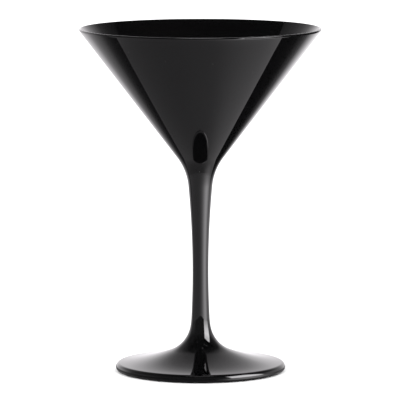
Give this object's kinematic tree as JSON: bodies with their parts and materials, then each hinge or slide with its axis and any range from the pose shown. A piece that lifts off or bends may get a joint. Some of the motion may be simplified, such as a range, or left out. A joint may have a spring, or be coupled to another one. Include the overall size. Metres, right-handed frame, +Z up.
{
  "type": "martini glass",
  "caption": "Stemmed martini glass with a straight conical bowl, a slim waisted stem and a round flared foot, in opaque glossy black glass.",
  "frame": {"origin": "centre of the resting ring under the foot, on the table", "axes": "+Z up along the axis of the stem, from the foot to the rim; the glass is round, so X and Y are any two directions along the table"},
  "size_m": [0.118, 0.118, 0.168],
  "materials": {
    "bowl_glass": "polished opaque black",
    "stem_glass": "polished opaque black",
    "foot_glass": "polished opaque black"
  },
  "bodies": {
    "root": {"bowl": "bowl_glass", "stem": "stem_glass", "foot": "foot_glass"}
  },
  "joints": []
}
